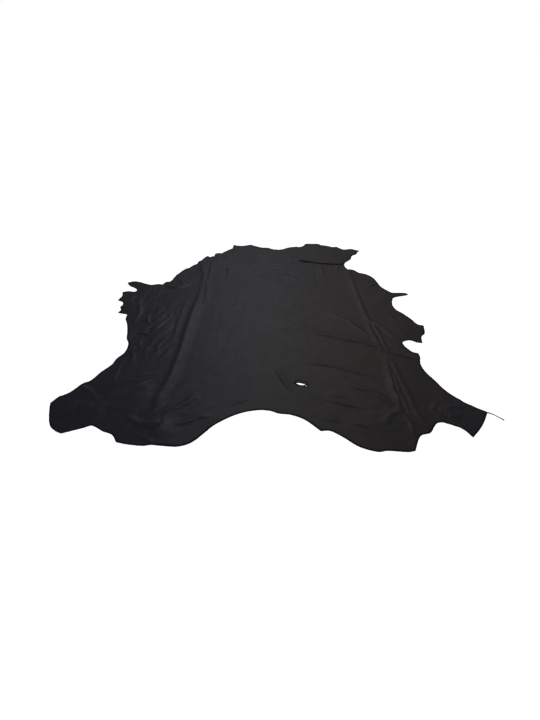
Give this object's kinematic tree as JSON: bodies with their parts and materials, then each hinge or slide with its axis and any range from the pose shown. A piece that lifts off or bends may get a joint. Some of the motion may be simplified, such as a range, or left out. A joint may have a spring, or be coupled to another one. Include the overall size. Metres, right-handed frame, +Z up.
{
  "type": "leather hide",
  "caption": "Whole finished black cowhide lying flat, with torn and scalloped edges, storage creases, a pleat near the neck and a torn hole.",
  "frame": {"origin": "middle of the bounding box, on the surface that the hide lies on", "axes": "+Z up from the surface through the grain side, +Y along the backbone from the butt to the neck, +X across the hide to the side of the trailing sliver"},
  "size_m": [2.3948, 2.677, 0.0178],
  "materials": {
    "leather": "finished grain, low sheen"
  },
  "bodies": {
    "root": {"hide": "leather"}
  },
  "joints": []
}
